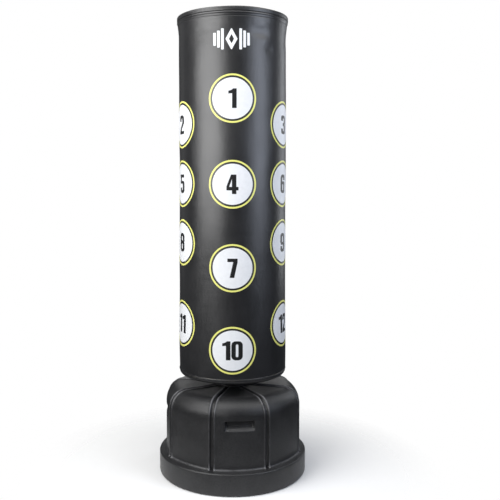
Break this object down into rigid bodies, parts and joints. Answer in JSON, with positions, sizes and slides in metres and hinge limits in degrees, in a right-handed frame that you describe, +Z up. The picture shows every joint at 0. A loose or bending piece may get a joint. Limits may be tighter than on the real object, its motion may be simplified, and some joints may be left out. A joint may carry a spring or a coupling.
{
  "type": "free standing boxing bag",
  "caption": "Free standing boxing bag: a tall padded vinyl cylinder on a flexing rubber neck above a round ballast tank with hand grips and a screwed filler cap.",
  "frame": {"origin": "centre of the base on the floor", "axes": "+Z up along the bag's axis, -Y is the front of the bag, +X is its right as seen from the front"},
  "size_m": [0.5559, 0.556, 1.7],
  "materials": {
    "tank_plastic": "satin",
    "cap_plastic": "satin",
    "sand": "matte",
    "brass_insert": "satin",
    "seal_rubber": "matte",
    "flange_steel": "satin",
    "bolt_steel": "satin",
    "neck_rubber": "matte",
    "board_wood": "matte",
    "core_plastic": "satin",
    "firm_foam": "matte",
    "soft_foam": "matte",
    "cover_vinyl": "satin",
    "binding_vinyl": "satin",
    "zip_tape": "matte",
    "zip_plastic": "satin",
    "zip_metal": "polished"
  },
  "bodies": {
    "base": {"base_tank": "tank_plastic", "sand_ballast": "sand", "insert_nuts": "brass_insert", "lower_flange": "flange_steel", "lower_bolts": "bolt_steel", "lower_rubber": "neck_rubber"},
    "neck": {"neck_plate": "flange_steel"},
    "bag": {"upper_rubber": "neck_rubber", "upper_flange": "flange_steel", "upper_bolts": "bolt_steel", "tee_nuts": "bolt_steel", "lower_board": "board_wood", "core_tube": "core_plastic", "upper_board": "board_wood", "inner_foam": "firm_foam", "outer_foam": "soft_foam", "cover_wall": "cover_vinyl", "cover_bottom": "cover_vinyl", "cover_top": "cover_vinyl", "top_binding": "binding_vinyl", "lower_seam_cord": "binding_vinyl", "zip_tape_left": "zip_tape", "zip_tape_right": "zip_tape", "zip_teeth": "zip_plastic", "zip_stops": "zip_metal"},
    "filler_seal": {"filler_gasket": "seal_rubber"},
    "filler_screw_cap": {"filler_cap": "cap_plastic"},
    "slider": {"zip_slider": "zip_metal"},
    "pull": {"zip_pull": "zip_metal"}
  },
  "joints": [
    {"name": "lean_fore_aft", "type": "hinge", "parent": "base", "child": "neck", "pos_m": [0, 0, 0.33975], "axis": [1, 0, 0], "range_deg": [-8, 8], "stiffness_Nm_per_rad": 900, "deforming": ["lower_rubber"]},
    {"name": "lean_sideways", "type": "hinge", "parent": "neck", "child": "bag", "pos_m": [0, 0, 0.35925], "axis": [0, 1, 0], "range_deg": [-8, 8], "stiffness_Nm_per_rad": 900, "deforming": ["upper_rubber"]},
    {"name": "cap_lift", "type": "slide", "parent": "base", "child": "filler_seal", "axis": [0, 0, 1], "range_m": [0, 0.012]},
    {"name": "cap_unscrew", "type": "hinge", "parent": "filler_seal", "child": "filler_screw_cap", "pos_m": [-0.01673, 0.15912, 0.32], "axis": [0, 0, 1], "range_deg": [0, 1080]},
    {"name": "zip_slide", "type": "slide", "parent": "bag", "child": "slider", "axis": [0, 0, 1], "range_m": [0, 1.16]},
    {"name": "zip_pull_swing", "type": "hinge", "parent": "slider", "child": "pull", "pos_m": [0, 0.2058, 0.4485], "axis": [1, 0, 0], "range_deg": [0, 165]}
  ],
  "couplings": [
    {"joint": "cap_lift", "follows": "cap_unscrew", "m_per_rad": 0.00063662}
  ]
}
